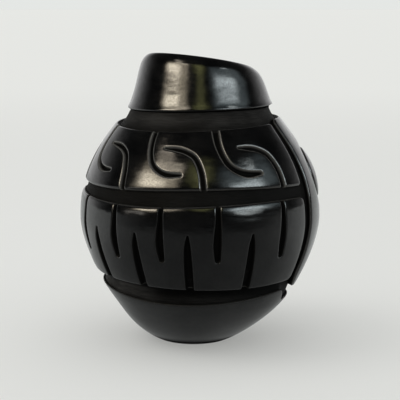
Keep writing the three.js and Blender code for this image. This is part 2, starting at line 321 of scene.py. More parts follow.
def matte_clay():
    """The scraped ground between the raised fields, with the marks of the tool along it."""
    material, n, shader = new_material("matte_clay")
    strokes = n.noise((110, 110, 1900), 4, 0.65)
    fine = n.noise((260, 260, 6000), 2, 0.6)
    grain = n.noise((2400, 2400, 2400), 3, 0.6)
    dust = n.noise((45, 45, 70), 3)
    tone = n.math("ADD", n.math("MULTIPLY", strokes, 0.6), n.math("MULTIPLY", dust, 0.4))
    across, _, height = n.add(
        "ShaderNodeSeparateXYZ", {0: n.add("ShaderNodeTexCoord").outputs["Object"]}
    ).outputs
    # Painted shade and light: darker under the belly, where its overhang shades the ground, and paler
    # in the neck's recess, by the bowl's edge and on the left, where more light falls
    light = n.math("ADD", n.ramp(height, 0.047, 0.06, 0.2, 1), n.ramp(height, 0.142, 0.15, 0, 3.2))
    light = n.math("ADD", light, n.ramp(height, 0.037, 0.043, 1.4, 0))
    undercut = n.ramp(height, 0.044, 0.0465, 1, 0)
    on_the_left = n.ramp(across, -0.06, -0.02, 7, 0)
    light = n.math("ADD", light, n.math("MULTIPLY", undercut, on_the_left))
    ground = n.mix(n.ramp(tone, 0.38, 0.62), GROUND_DARK, GROUND_PALE)
    # The ground's colour scaled by this painted light and shade
    lit = n.add("ShaderNodeVectorMath", {0: ground, "Scale": light}, operation="SCALE")
    n.set(shader.inputs["Base Color"], lit.outputs["Vector"])
    n.set(shader.inputs["Roughness"], n.ramp(strokes, 0.3, 0.7, 0.55, 0.8))
    shader.inputs["Specular IOR Level"].default_value = 0.08
    normal = n.bump(strokes, 0.0003)
    normal = n.bump(fine, 0.00006, normal)
    n.set(shader.inputs["Normal"], n.bump(grain, 0.00007, normal))
    return material


BURNISHED = burnished_clay()
MATTE = matte_clay()


# ---- Hand-cut edges of the fields, as heights at an angle ----

PANEL_ANGLE = 90
PANEL_HALF_ANGLE = 25.5
PANEL_BOTTOM, PANEL_TOP = 35.8, 148.4
PANEL_LOW_CORNER, PANEL_HIGH_CORNER = 21, 4
GROOVE_ANGLE = 6.5
FIELD_RIGHT = PANEL_ANGLE - PANEL_HALF_ANGLE - GROOVE_ANGLE
FIELD_LEFT = PANEL_ANGLE + PANEL_HALF_ANGLE + GROOVE_ANGLE - 360


def wave(degrees, cycles, phase):
    return np.cos(np.radians(cycles * (degrees - phase)))


def shoulder_top(degrees):
    return 144.9 - 1.6 * wave(degrees, 1.6, -38)


def shoulder_bottom(degrees):
    return 108.7 + 1.2 * wave(degrees, 2.5, 10)


def belly_top(degrees):
    return 100.2 - 1.2 * wave(degrees, 2.5, -33)


def belly_bottom(degrees):
    return 47.2 - 1.9 * wave(degrees, 1.5, 22)


def panel_top(degrees):
    return PANEL_TOP + 0 * degrees


def panel_bottom(degrees):
    return PANEL_BOTTOM + 0 * degrees


# ---- Fields: raised islands with an outline, a rounded edge and carved channels ----


def rounded_inside(a, b, radius):
    """Depth inside two edges at once, with their corner rounded to this radius."""
    return np.maximum(np.minimum(a, b), radius) - np.hypot(
        np.maximum(radius - a, 0), np.maximum(radius - b, 0)
    )


class Band:
    """A field between two side angles and two hand-cut edges."""

    def __init__(self, left, right, bottom, top, low_corner, high_corner):
        self.left, self.right = sheet_x(left), sheet_x(right)
        self.bottom, self.top = bottom, top
        self.low_corner, self.high_corner = low_corner, high_corner

    def depth(self, x, y):
        """Real distance in from the outline, negative outside it."""
        degrees = np.degrees(x / BELLY_RADIUS)
        scale = sheet_scale(y)
        side = np.minimum(x - self.left, self.right - x) * scale
        below = (y - sheet_y(self.bottom(degrees))) * scale
        above = (sheet_y(self.top(degrees)) - y) * scale
        lower = rounded_inside(side, below, self.low_corner)
        return rounded_inside(lower, above, self.high_corner)

    def ring(self, inset, spacing):
        """Points all round at this depth, found along rays from a line through the middle."""
        middle_x = (self.left + self.right) / 2
        low = sheet_y(self.bottom(np.degrees(middle_x / BELLY_RADIUS)))
        high = sheet_y(self.top(np.degrees(middle_x / BELLY_RADIUS)))
        half_width, half_height = (self.right - self.left) / 2, (high - low) / 2
        spine = abs(half_width - half_height) + 10
        turn = 0 if half_width > half_height else np.pi / 2
        return ring_by_rays(self.depth, (middle_x, (low + high) / 2), spine, turn, inset, spacing)


def ring_by_rays(depth, centre, spine, turn, inset, spacing):
    """A closed line where depth equals inset, evenly spaced.

    Rays leave at right angles from a straight spine of this half length, and fan out round its
    ends. The spine is level, or turned by an angle.
    """
    fan = np.linspace(-np.pi / 2, np.pi / 2, 500)
    run = np.linspace(-spine, spine, max(2, int(spine * 8)))
    base = np.concatenate([run, np.full(len(fan), spine), run[::-1], np.full(len(fan), -spine)])
    angle = turn + np.concatenate([
        np.full(len(run), -np.pi / 2), fan, np.full(len(run), np.pi / 2), fan + np.pi,
    ])
    x0, y0 = centre[0] + base * np.cos(turn), centre[1] + base * np.sin(turn)
    dx, dy = np.cos(angle), np.sin(angle)
    near, far = np.zeros_like(x0), np.full_like(x0, 250.0)
    for _ in range(45):
        half = (near + far) / 2
        inside = depth(x0 + dx * half, y0 + dy * half) > inset
        near, far = np.where(inside, half, near), np.where(inside, far, half)
    return even_loop(np.stack([x0 + dx * near, y0 + dy * near], axis=1), spacing)


def even_loop(points, spacing):
    """A closed line walked at even steps."""
    closed = np.vstack([points, points[:1]])
    run = np.concatenate([[0], np.cumsum(np.linalg.norm(np.diff(closed, axis=0), axis=1))])
    count = max(8, int(run[-1] / spacing))
    at = np.linspace(0, run[-1], count, endpoint=False)
    return np.stack([np.interp(at, run, closed[:, i]) for i in (0, 1)], axis=1)


CHANNEL_ROWS = (-1.3, -0.8, -0.3, 0.15, 0.6, 1.2, 2.0)
CHANNEL_SHOULDER = 0.5
CHANNEL_FLOOR_BEND = 0.35
CHANNEL_RIM_WIDTH = 0.36


class Channel:
    """A carved line with round ends, through [degrees, z, half width] points."""

    def __init__(self, points, steepness, floor, rim):
        control = np.array([(sheet_x(a), sheet_y(z), w) for a, z, w in points])
        self.line = smooth_line(control, 1.0)
        self.steepness, self.floor, self.rim = steepness, floor, rim

    def inside(self, x, y):
        """Real distance in from the channel's edge, negative outside it."""
        best = np.full(x.shape, -1e3)
        low = self.line[:, :2].min(0) - 9
        high = self.line[:, :2].max(0) + 9
        near = (x > low[0]) & (x < high[0]) & (y > low[1]) & (y < high[1])
        px, py = x[near], y[near]
        if not len(px):
            return best
        found = np.full(px.shape, -1e3)
        scale = sheet_scale(py)
        for (ax, ay, aw), (bx, by, bw) in zip(self.line[:-1], self.line[1:]):
            ex, ey = bx - ax, by - ay
            t = np.clip(((px - ax) * ex + (py - ay) * ey) / (ex * ex + ey * ey), 0, 1)
            far = np.hypot(px - ax - t * ex, py - ay - t * ey) * scale
            found = np.maximum(found, aw + t * (bw - aw) - far)
        best[near] = found
        return best

    def strip(self, spacing):
        """Points in rows along the channel, out to past its rounded shoulders."""
        line = smooth_line(self.line, spacing)
        forward = np.gradient(line[:, :2], axis=0)
        forward /= np.linalg.norm(forward, axis=1)[:, None]
        side = np.stack([-forward[:, 1], forward[:, 0]], axis=1)
        scale = sheet_scale(line[:, 1])[:, None]
        points = [line[:, :2]]
        for beyond in CHANNEL_ROWS:
            out = np.maximum(line[:, 2:] + beyond, 0.3) / scale
            points += [line[:, :2] + side * out, line[:, :2] - side * out]
            for end, sign in ((0, -1), (-1, 1)):
                count = max(3, int(np.pi * float(out[end, 0]) / spacing))
                for turn in np.linspace(-np.pi / 2, np.pi / 2, count)[1:-1]:
                    along = sign * forward[end] * math.cos(turn) + side[end] * math.sin(turn)
                    points.append((line[end, :2] + along * out[end])[None])
        return np.vstack(points)


def smooth_line(control, spacing):
    """A Catmull-Rom line through the points, in even steps."""
    padded = np.vstack([2 * control[0] - control[1], control, 2 * control[-1] - control[-2]])
    t = np.linspace(0, 1, 24, endpoint=False)[:, None]
    parts = []
    for a, b, c, d in zip(padded[:-3], padded[1:-2], padded[2:-1], padded[3:]):
        square, cube = 2 * a - 5 * b + 4 * c - d, 3 * b - a - 3 * c + d
        parts.append(0.5 * (2 * b + (c - a) * t + square * t**2 + cube * t**3))
    dense = np.vstack(parts + [control[-1:]])
    run = np.concatenate([[0], np.cumsum(np.linalg.norm(np.diff(dense[:, :2], axis=0), axis=1))])
    at = np.linspace(0, run[-1], max(3, int(run[-1] / spacing) + 1))
    return np.stack([np.interp(at, run, dense[:, i]) for i in range(control.shape[1])], axis=1)


def ease(value, rounding):
    """0 below -rounding, the value itself above +rounding, and a smooth bend between."""
    bend = (value + rounding) ** 2 / (4 * rounding)
    return np.where(value < -rounding, 0, np.where(value > rounding, value, bend))


def channel_cut(channels, x, y):
    """How deep the channels cut, how far inside the nearest a point is, and how pale its rim: scraped
    clay and a painted highlight.
    """
    depth, rim = np.zeros(x.shape), np.zeros(x.shape)
    inside = np.full(x.shape, -1e3)
    for channel in channels:
        within = channel.inside(x, y)
        cut = channel.steepness * ease(within, CHANNEL_SHOULDER)
        cut = channel.floor - ease(channel.floor - cut, CHANNEL_FLOOR_BEND)
        depth = np.maximum(depth, cut)
        inside = np.maximum(inside, within)
        # Pale rim at the channel's edge: partly scraped clay, partly a painted highlight
        rim = np.maximum(rim, channel.rim * np.exp(-((within / CHANNEL_RIM_WIDTH) ** 2)))
    return depth, inside, rim


EDGE_ROUNDING = 1.5
SHOULDER_EDGE_ROUNDING = 1.6
PILLOW = 0.22
PILLOW_REACH = 6


def edge_drop(depth, radius):
    """How far a field's surface falls towards its edge: a quarter round and a soft pillow."""
    t = np.clip(1 - depth / radius, 0, 1)
    quarter = radius * 0.9 * (1 - np.sqrt(np.maximum(0, 1 - t * t * 0.96)))
    soft = PILLOW * np.clip(1 - depth / PILLOW_REACH, 0, 1) ** 2
    return quarter + soft


def thinned(points, closest):
    """Drops each point that lies closer than this to one before it."""
    kept, cells = [], {}
    for x, y in points:
        column, row = int(x // closest), int(y // closest)
        near = (
            p
            for i in (-1, 0, 1)
            for j in (-1, 0, 1)
            for p in cells.get((column + i, row + j), ())
        )
        if all((x - px) ** 2 + (y - py) ** 2 >= closest**2 for px, py in near):
            cells.setdefault((column, row), []).append((x, y))
            kept.append((x, y))
    return kept


def staggered_grid(low, high, spacing):
    rows = np.arange(low[1], high[1], spacing * 0.866)
    columns = np.arange(low[0], high[0], spacing)
    return np.array([(x + spacing / 2 * (i % 2), y) for i, y in enumerate(rows) for x in columns])


def triangles_between(points, loops, inside):
    """Triangles over the points, with the loops' edges kept, where inside says so."""
    edges, start = [], 0
    for loop in loops:
        count = len(loop)
        edges += [(start + i, start + (i + 1) % count) for i in range(count)]
        start += count
    result = delaunay_2d_cdt([Vector(p) for p in points], edges, [], 0, 1e-7)
    coordinates, faces, origins = result[0], result[2], result[3]
    order = [origin[0] for origin in origins]
    triangles = np.array([[order[i] for i in face] for face in faces])
    centres = np.asarray(points)[triangles].mean(axis=1)
    keep = inside(centres[:, 0], centres[:, 1]) > 0
    assert len(coordinates) == len(points)
    return triangles[keep]


# Strength of the pale rim along a field's edge: partly scraped clay, partly a painted highlight
FIELD_RIM_SCRAPE_AND_GLINT = 0.35
# The walls lean out a little towards the ground: a share of the way down, and how far out
WALL_STEPS = ((0.12, 0.06), (0.35, 0.13), (0.7, 0.2), (1, 0.24))
RING_INSETS = (0.2, 0.45, 0.8, 1.25, 1.8, 2.6, 3.6)
RING_SPACING = 0.6
FIELD_SPACING = 1.9
BACK_SPACING = 7
CLEAR_OF_EDGE = 0.12
CLOSEST_POINTS = 0.24
LEAST_THICKNESS = 0.25


def field_piece(name, depth, rings, channels, swelling, edge_radius, nodes):
    """A closed raised field: its carved top, walls down all round, and a back in the ground.

    rings(inset, spacing) gives the outline's loops, the outer one anticlockwise.
    """
    loops = rings(0, RING_SPACING)
    border = np.vstack(loops)
    inner = [np.vstack(rings(inset, RING_SPACING)) for inset in RING_INSETS]
    cuts = [channel.strip(RING_SPACING) for channel in channels]
    fill = staggered_grid(border.min(0), border.max(0), FIELD_SPACING)
    loose = np.vstack(inner + cuts)
    loose = loose[depth(loose[:, 0], loose[:, 1]) > CLEAR_OF_EDGE]
    _, within, _ = channel_cut(channels, fill[:, 0], fill[:, 1])
    fill = fill[(depth(fill[:, 0], fill[:, 1]) > RING_INSETS[-1] + 0.9) & (within < -3.0)]
    kept = thinned(map(tuple, np.vstack([border, loose, fill])), CLOSEST_POINTS)
    points = np.array(kept)
    assert len(border) <= len(points) and np.allclose(points[: len(border)], border)

    top = triangles_between(points, loops, depth)
    x, y = points.T
    inset = np.maximum(depth(x, y), 0)
    cut, within, rim = channel_cut(channels, x, y)
    height = swelling(x, y) - edge_drop(inset, edge_radius) - cut
    flat_place = on_pot(x, y, 0 * x)
    height += waver(flat_place, 24, 0.16, 3.1) + waver(flat_place, 9, 0.05, 7.7)
    height = np.maximum(height, LEAST_THICKNESS - FIELD_DEPTH)
    vertices = [on_pot(x, y, height)]
    carved = [np.clip(np.maximum(0.5 + within * 0.9, 0.95 - inset * 2.2), 0, 1)]
    # Pale rim just inside the field's edge: partly scraped clay, partly a painted highlight
    rim = np.maximum(rim, FIELD_RIM_SCRAPE_AND_GLINT * np.exp(-(((inset - 0.15) / 0.4) ** 2)))
    faces, flat = [tuple(t) for t in top], [False] * len(top)

    out = []
    for loop in loops:
        ahead, behind = np.roll(loop, -1, axis=0), np.roll(loop, 1, axis=0)
        along = (ahead - behind) / np.linalg.norm(ahead - behind, axis=1)[:, None]
        out.append(np.stack([along[:, 1], -along[:, 0]], axis=1))
    out = np.vstack(out) / sheet_scale(border[:, 1])[:, None]
    count = len(border)
    start_height = height[:count]
    previous = np.arange(count)
    total = len(points)
    for share, lean in WALL_STEPS:
        place = border + out * lean
        level = start_height * (1 - share) - FIELD_DEPTH * share
        vertices.append(on_pot(place[:, 0], place[:, 1], level))
        carved.append(np.ones(count))
        current = np.arange(total, total + count)
        total += count
        start = 0
        for loop in loops:
            for i in range(len(loop)):
                a, b = start + i, start + (i + 1) % len(loop)
                faces.append((previous[a], current[a], current[b], previous[b]))
                flat.append(False)
            start += len(loop)
        previous = current

    # The back lies in the ground
    inner_fill = staggered_grid(border.min(0), border.max(0), BACK_SPACING)
    inner_fill = inner_fill[depth(inner_fill[:, 0], inner_fill[:, 1]) > 1.5]
    rear = np.vstack([border, inner_fill])
    back = triangles_between(rear, loops, depth)
    level = np.full(len(inner_fill), -FIELD_DEPTH)
    vertices.append(on_pot(inner_fill[:, 0], inner_fill[:, 1], level))
    carved.append(np.ones(len(inner_fill)))
    index = np.concatenate([previous, np.arange(total, total + len(inner_fill))])
    faces += [tuple(index[t][::-1]) for t in back]
    flat += [True] * len(back)
    carved = np.concatenate(carved)
    attributes = {"carved": carved, "rim": np.concatenate([rim, np.zeros(len(carved) - len(rim))])}
    return make_piece(
        name, np.vstack(vertices), faces, flat, attributes, BURNISHED, nodes
    )


def no_swelling(x, y):
    return 0 * x


# ---- The shoulder's hooks ----

CUT_STEEPNESS = 2.4
HOOK_DEPTH = 2.4
HANGING_HOOK = [
    (0, 151, 1.9), (0.2, 139, 1.75), (1.6, 131.5, 1.6), (4.6, 124.5, 1.6), (9.2, 120.3, 1.7),
    (14.3, 118.5, 1.8), (20.5, 118.6, 1.1),
]
RISING_HOOK = [
    (0.2, 103, 2.1), (0, 112, 2.0), (-1.1, 121, 1.9), (-4.2, 128.4, 1.8), (-9.3, 131.9, 1.7),
    (-14.8, 133.3, 1.6), (-21.3, 133.8, 0.8),
]
HOOK_SPACING = 41
# Angle, reach and width of each hook, from the right, as the hand cut them
HANGING_CUTS = [(10, 1.05, 1.3), (-29.6, 0.97, 1.0), (-73.5, 1.05, 1.0)]
RISING_CUTS = [(43.6, 1.0, 1.1), (1.6, 1.0, 1.0), (-40.1, 1.0, 1.0)]
for i in range(4):
    angle = RISING_CUTS[-1][0] - HOOK_SPACING
    RISING_CUTS.append((angle, 1 + 0.05 * (-1) ** i, 1.0))
    if i < 3:
        HANGING_CUTS.append((HANGING_CUTS[-1][0] - HOOK_SPACING, 1 - 0.05 * (-1) ** i, 1.1))


def hook(points, cut):
    angle, reach, width = cut
    placed = [(angle + reach * a, z, w * width) for a, z, w in points]
    # Full pale rim along each hook: partly scraped clay, partly a painted highlight
    return Channel(placed, CUT_STEEPNESS, floor=HOOK_DEPTH, rim=1.0)


def shoulder_band():
    band = Band(FIELD_LEFT, FIELD_RIGHT, shoulder_bottom, shoulder_top, 2.6, 2.6)
    hooks = [hook(HANGING_HOOK, cut) for cut in HANGING_CUTS]
    hooks += [hook(RISING_HOOK, cut) for cut in RISING_CUTS]
    field_piece(
        "shoulder_band_carved", band.depth, lambda i, s: [band.ring(i, s)], hooks, no_swelling,
        SHOULDER_EDGE_ROUNDING, ["shoulder_band"],
    )


# ---- The belly's slits ----

TOP_SLIT_ANGLES = [41.3, 8.2, -18, -42.5, -68.5]
BOTTOM_SLIT_ANGLES = [24.3, -5.5, -30.7, -55.5]
SLIT_SPACING = 25.3
SLIT_DEPTH = 2.85
# Faint pale rim along the slits: partly scraped clay, partly a painted highlight
SLIT_RIM_SCRAPE_AND_GLINT = 0.03
while TOP_SLIT_ANGLES[-1] - SLIT_SPACING > FIELD_LEFT + SLIT_SPACING / 2:
    TOP_SLIT_ANGLES.append(TOP_SLIT_ANGLES[-1] - SLIT_SPACING)
    BOTTOM_SLIT_ANGLES.append(BOTTOM_SLIT_ANGLES[-1] - SLIT_SPACING)


def slit(points):
    return Channel(points, CUT_STEEPNESS, floor=SLIT_DEPTH, rim=SLIT_RIM_SCRAPE_AND_GLINT)


def belly_slits():
    """Slits hang from the top edge, broadest low down, and rise from the bottom edge to a point."""
    slits = []
    for angle in TOP_SLIT_ANGLES:
        top = belly_top(angle)
        slits.append(slit([
            (angle, top + 4, 1.4), (angle, top - 8, 1.8), (angle - 0.4, 77, 2.6), (angle, 66.5, 1.9),
        ]))
    for angle in BOTTOM_SLIT_ANGLES:
        past_bottom = belly_bottom(angle) - 4
        slits.append(slit([
            (angle, 82, 0.8), (angle - 0.2, 74, 2.2), (angle, 60, 2.7), (angle + 0.3, past_bottom, 2.6),
        ]))
    return slits


CROWN_DROP = 0.5
CROWN_REACH = 4.5
CROWN_SWING = 1.5


def belly_crown(x, y):
    """The belly rolls back towards its top edge, tightly in front and softly on each side."""
    degrees = np.degrees(x / BELLY_RADIUS)
    below_top = (sheet_y(belly_top(degrees)) - y) * sheet_scale(y)
    reach = CROWN_REACH - CROWN_SWING * wave(degrees, 3, -4)
    return -CROWN_DROP * reach / CROWN_REACH * np.clip(1 - below_top / reach, 0, 1) ** 2


def belly_band():
    band = Band(FIELD_LEFT, FIELD_RIGHT, belly_bottom, belly_top, 4.5, 3)
    field_piece(
        "belly_band_carved", band.depth, lambda i, s: [band.ring(i, s)], belly_slits(),
        belly_crown, EDGE_ROUNDING, ["belly_band"],
    )


# ---- The side panel and its boss ----

BOSS_LOW, BOSS_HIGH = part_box("side_boss")
BOSS_HEIGHT = (BOSS_LOW.z + BOSS_HIGH.z) / 2 / MM
BOSS_HALF_WIDTH = (BOSS_HIGH.y - BOSS_LOW.y) / 2 / MM
BOSS_HALF_HEIGHT = (BOSS_HIGH.z - BOSS_LOW.z) / 2 / MM
BOSS_PROUD = 1.3
BOSS_SLIT = 3.4


class Oval:
    """An oval outline round the boss's centre."""

    def __init__(self, half_width, half_height):
        self.centre = (sheet_x(PANEL_ANGLE), sheet_y(BOSS_HEIGHT))
        scale = sheet_scale(self.centre[1])
        rise = sheet_y(BOSS_HEIGHT + half_height) - sheet_y(BOSS_HEIGHT - half_height)
        self.half = (half_width / scale, rise / 2)

    def reach(self, x, y):
        return np.hypot((x - self.centre[0]) / self.half[0], (y - self.centre[1]) / self.half[1])

    def depth(self, x, y):
        """Real distance in from the oval, close to the edge."""
        reach = np.maximum(self.reach(x, y), 1e-6)
        slope = np.hypot(
            (x - self.centre[0]) / self.half[0] ** 2, (y - self.centre[1]) / self.half[1] ** 2
        ) / reach
        slope = np.maximum(slope, 1 / max(self.half))
        return (1 - reach) / slope * sheet_scale(y)

    def ring(self, inset, spacing):
        return ring_by_rays(self.depth, self.centre, 0, 0, inset, spacing)


def side_panel():
    left, right = PANEL_ANGLE - PANEL_HALF_ANGLE, PANEL_ANGLE + PANEL_HALF_ANGLE
    band = Band(left, right, panel_bottom, panel_top, PANEL_LOW_CORNER, PANEL_HIGH_CORNER)
    hole = Oval(BOSS_HALF_WIDTH + BOSS_SLIT, BOSS_HALF_HEIGHT + BOSS_SLIT)

    def depth(x, y):
        return np.minimum(band.depth(x, y), -hole.depth(x, y))

    def rings(inset, spacing):
        return [band.ring(inset, spacing), hole.ring(-inset, spacing)[::-1]]

    field_piece(
        "side_panel_carved", depth, rings, [], no_swelling, EDGE_ROUNDING, ["side_panel"]
    )


def side_boss():
    oval = Oval(BOSS_HALF_WIDTH, BOSS_HALF_HEIGHT)

    def swelling(x, y):
        return BOSS_PROUD * np.maximum(0, 1 - oval.reach(x, y) ** 2)

    field_piece(
        "side_boss_domed", oval.depth, lambda i, s: [oval.ring(i, s)], [], swelling,
        EDGE_ROUNDING, ["side_boss"],
    )


# ---- The bowl ----


EDGE_DROP = 10
EDGE_DROP_ANGLES = (24, 37)


def bowl_edge(angle):
    """Height of the burnished bowl's edge: it rises to both sides, and drops under the panel."""
    degrees = (np.degrees(angle) + 180) % 360 - 180
    near, far = EDGE_DROP_ANGLES
    under = np.clip((far - np.abs(degrees - PANEL_ANGLE)) / (far - near), 0, 1)
    return 38.4 - 3 * wave(degrees, 2, -12) - EDGE_DROP * under * under * (3 - 2 * under)


EDGE = bowl_edge(COLUMN_ANGLES)
EDGE_RADIUS = 1.7
# Strength of the painted highlight, the pale rim colour, along the bowl's rounded edge
BOWL_EDGE_GLINT = 0.2
REBATE = 2.2


def inner_radius(z):
    return radius_at(z) - BODY_THICKNESS


def base_bowl():
    """A deep dish with a rebate behind its rounded edge, where the lowest course stands."""
    rows = [(0, 0.5, 0.9), (8, 0.45, 0.9), (14, 0.3, 0.9), (19, 0.1, 0.9), (22, 0, 0.6)]
    rows.append((FOOT_RADIUS, 0.05, 0.3))
    bend = EDGE - EDGE_RADIUS
    for share in np.linspace(0.012, 1, 60):
        rows.append((radius_at(share * bend), share * bend, 0))
    for turn in np.radians([15, 30, 45, 60, 75]):
        rise, back = math.sin(turn), 1 - math.cos(turn)
        radius = radius_at(bend) + EDGE_RADIUS * (0.7 * rise - back)
        # The rounding's upper part gets the pale rim colour: a painted highlight along the edge
        rows.append((radius, bend + EDGE_RADIUS * rise, 0.75 * rise, BOWL_EDGE_GLINT * rise**2))
    lip = radius_at(bend) - 0.3 * EDGE_RADIUS
    rows += [(lip, EDGE, 0.8), (lip - 0.1, EDGE - 0.5, 1), (lip - 0.1, EDGE - REBATE, 1)]
    for share in np.linspace(1, 0.36, 24):
        z = share * (EDGE - REBATE)
        rows.append((inner_radius(z), z, 1))
    for radius, z in ((30, 8.6), (27, 8.1), (18, 8), (9, 8)):
        rows.append((radius, z, 1))
    rows.append((0, FLOOR_THICKNESS, 1))
    turned_piece(
        "base_bowl_burnished", rows, set(), False, BURNISHED, ["base_bowl"]
    )


# ---- The coiled wall ----

UNDERCUT_RADIUS = 62.2
UNDERCUT_TOP = 46
LEVEL_FROM = 50
LEVEL_TO = 140
NECK_FOOT = (49, 146)
NECK_TOP_RADIUS = 45
COURSE_STEP = 0.9


def ground_radius(z):
    """The matte ground: level under the fields, and cut back below and above them."""
    heights = [UNDERCUT_TOP, LEVEL_FROM, LEVEL_TO, NECK_FOOT[1], WALL_TOP]
    level_ends = [radius_at(LEVEL_FROM) - GROUND_DEPTH, radius_at(LEVEL_TO) - GROUND_DEPTH]
    radii = [UNDERCUT_RADIUS, *level_ends, NECK_FOOT[0], NECK_TOP_RADIUS]
    if LEVEL_FROM < z < LEVEL_TO:
        return radius_at(z) - GROUND_DEPTH
    return np.interp(z, heights, radii)


def wall_course(name, outside, node):
    """One coil of the wall: rows of (radius, z) up the outside, and a plain hollow inside."""
    rows = []
    for radius, z in outside:
        place = turned_point(COLUMN_ANGLES, radius, z)
        worked = waver(place, 11, 0.22, 1.3) + waver(place * (1, 1, 5), 9, 0.12, 5.9)
        rows.append((radius + worked, z, 1))
    low, high = outside[0][1], outside[-1][1]
    for share in np.linspace(1, 0, max(4, int(np.mean(high - low) / 2.5))):
        z = low + (high - low) * share
        rows.append((inner_radius(np.minimum(z, NECK_HEIGHT)), z, 1))
    flat_rows = {len(outside) - 1, len(rows) - 1}
    turned_piece(name, rows, flat_rows, True, MATTE, [node])


def lower_course_rows():
    """From the bowl's rebate, out over its edge and up the chamfer to the undercut."""
    foot = radius_at(EDGE - EDGE_RADIUS) - 0.3 * EDGE_RADIUS - 0.7
    rows = [(foot, EDGE - REBATE + 0.2), (foot, EDGE - 0.3)]
    for share in np.linspace(0.02, 1, 14):
        rows.append((foot + (UNDERCUT_RADIUS - foot) * share, EDGE + (UNDERCUT_TOP - EDGE) * share))
    return rows + upper_course_rows(UNDERCUT_TOP + COURSE_STEP, COURSE_TOPS[0])


def upper_course_rows(low, high):
    heights = np.linspace(low, high, max(4, int((high - low) / COURSE_STEP)))
    flat = 0 * COLUMN_ANGLES
    return [(ground_radius(z) + flat, z + flat) for z in heights]


COLLAR_LAP = 1.2


def coiled_wall():
    wall_course("lower_wall_coil", lower_course_rows(), "lower_wall")
    names = ["belly_wall", "shoulder_wall", "neck_wall"]
    for name, low, high in zip(names, COURSE_TOPS, COURSE_TOPS[1:] + [WALL_TOP + COLLAR_LAP]):
        wall_course(name + "_coil", upper_course_rows(low, high), name)


# ---- The collar ----

COLLAR_BOTTOM = 155.2
RIM_HEIGHT = 184
PROFILE_HEIGHT = 29
RIM_SLOPE_X = -0.13
RIM_SLOPE_Y = -0.13
COLLAR_EDGE_SLOPE_X = 0.027
# Shares of the collar's height, and the radius there
COLLAR_SIDE = [(0, 47.2), (0.1, 45.9), (0.25, 44.3), (0.45, 42.5), (0.65, 40.8), (0.8, 39.1)]
LIP = [
    (0.86, 38.1), (0.91, 37.0), (0.955, 35.6), (0.985, 34.3), (1, 33.2), (0.995, 32.2),
    (0.965, 31.2), (0.91, 30.8),
]
MOUTH = [(0.8, 31.2), (0.55, 33), (0.3, 35), (0.1, 37.5), (-0.05, 39.7)]


def neck_collar():
    """Turned upright, then the rim and the lower edge are slanted in proportion to height."""
    step = [(-0.05, 44.6), (-0.035, 45.3), (-0.012, 46.4), (0, 46.9)]
    profile = np.array(step + [(0.018, 47.15)] + COLLAR_SIDE[1:] + LIP + MOUTH)
    fine = smooth_line(np.column_stack([profile[:, 0] * PROFILE_HEIGHT, profile[:, 1]]), 0.6)
    rows = []
    for rise, radius in fine:
        share = rise / PROFILE_HEIGHT
        lean = math.sin(math.pi * min(max(share, 0), 1))
        x = radius * np.sin(COLUMN_ANGLES)
        y = -radius * np.cos(COLUMN_ANGLES)
        slant = RIM_SLOPE_X * x + RIM_SLOPE_Y * y
        edge = COLLAR_EDGE_SLOPE_X * x
        along = max(share, 0)
        z = COLLAR_BOTTOM + share * (RIM_HEIGHT - COLLAR_BOTTOM)
        z = z + edge * (1 - along) + slant * along
        place = np.stack([x, y, z], axis=1)
        uneven = waver(place, 22, 0.25 * lean, 9.1)
        carved = 0.9 if share < 0 else 0
        rows.append((radius + uneven + 0.8 * lean * np.sin(COLUMN_ANGLES), z, carved))
    turned_piece(
        "neck_collar_burnished", rows, set(), True, BURNISHED, ["neck_collar"]
    )


# ---- Studio ----


def grid_sheet(name, rows):
    """An open sheet through rows of points."""
    rows = np.array(rows)
    height, width = rows.shape[:2]
    faces = [
        (r * width + c, r * width + c + 1, (r + 1) * width + c + 1, (r + 1) * width + c)
        for r in range(height - 1)
        for c in range(width - 1)
    ]
    mesh = bpy.data.meshes.new(name)
    mesh.from_pydata([tuple(p) for p in rows.reshape(-1, 3)], [], faces)
    sheet = bpy.data.objects.new(name, mesh)
    bpy.context.scene.collection.objects.link(sheet)
    return sheet


def direction(azimuth, elevation):
    """A unit vector. Azimuth 0 points to the camera's side, and grows to the right."""
    a, e = math.radians(azimuth), math.radians(elevation)
    return Vector((math.sin(a) * math.cos(e), -math.cos(a) * math.cos(e), math.sin(e)))


FLOOR_GREY = 0.52
FLOOR_SIZE = 30
GLOW_FROM, GLOW_TO = 0.3, 2.6
NEAR_GLOW, GLOW = 0.30, 0.77


def floor():
    """Pale paper that fades far away into an even glow, so that no horizon shows."""
    size = FLOOR_SIZE
    sheet = grid_sheet("floor", [[(x, y, 0) for x in (-size, size)] for y in (-size, size)])
    material, n, shader = new_material("floor_paper")
    place = n.add("ShaderNodeTexCoord").outputs["Object"]
    away = n.add("ShaderNodeVectorMath", {0: place}, operation="LENGTH").outputs["Value"]
    far = n.ramp(away, GLOW_FROM, GLOW_TO)
    near_colour = (FLOOR_GREY, FLOOR_GREY, FLOOR_GREY, 1)
    n.set(shader.inputs["Base Color"], n.mix(far, near_colour, (0, 0, 0, 1)))
    shader.inputs["Emission Color"].default_value = (0.99, 1.0, 0.965, 1)
    n.set(shader.inputs["Emission Strength"], n.blend(far, NEAR_GLOW, GLOW))
    shader.inputs["Roughness"].default_value = 0.9
    shader.inputs["Specular IOR Level"].default_value = 0.1
    sheet.data.materials.append(material)


TABLE_RINGS = (0.06, 0.2, 1, 6, 28)
OVER_FLOOR = 0.0005


